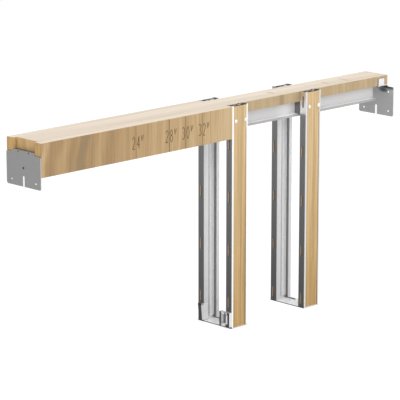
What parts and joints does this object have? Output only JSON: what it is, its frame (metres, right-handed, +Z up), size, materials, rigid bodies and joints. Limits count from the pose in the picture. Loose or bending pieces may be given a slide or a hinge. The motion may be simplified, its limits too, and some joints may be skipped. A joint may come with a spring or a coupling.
{
  "type": "pocket door frame",
  "caption": "Pocket door frame kit: wooden header with an aluminium hanger track, steel end brackets, and split steel-and-wood studs that leave a slot for the sliding door.",
  "frame": {"origin": "on the floor under the middle of the frame's box", "axes": "+X along the header from the door opening towards the pocket's closed end, +Y from the front face to the back face, +Z up"},
  "size_m": [0.915, 0.0888, 0.4222],
  "materials": {
    "pine": "planed, unfinished",
    "stud_wood": "planed, unfinished",
    "galvanised_steel": "galvanised sheet, smooth",
    "track_aluminium": "extruded, satin"
  },
  "bodies": {
    "root": {"header_core": "pine", "front_nailer": "pine", "back_nailer": "pine", "track": "track_aluminium", "left_end_bracket": "galvanised_steel", "right_end_bracket": "galvanised_steel", "first_front_stud_channel": "galvanised_steel", "first_front_stud_strip": "stud_wood", "first_front_stud_clip": "galvanised_steel", "first_back_stud_channel": "galvanised_steel", "first_back_stud_strip": "stud_wood", "first_back_stud_clip": "galvanised_steel", "first_floor_plate": "galvanised_steel", "second_front_stud_channel": "galvanised_steel", "second_front_stud_strip": "stud_wood", "second_front_stud_clip": "galvanised_steel", "second_back_stud_channel": "galvanised_steel", "second_back_stud_strip": "stud_wood", "second_back_stud_clip": "galvanised_steel", "second_floor_plate": "galvanised_steel", "front_door_guide": "galvanised_steel", "back_door_guide": "galvanised_steel"}
  },
  "joints": []
}
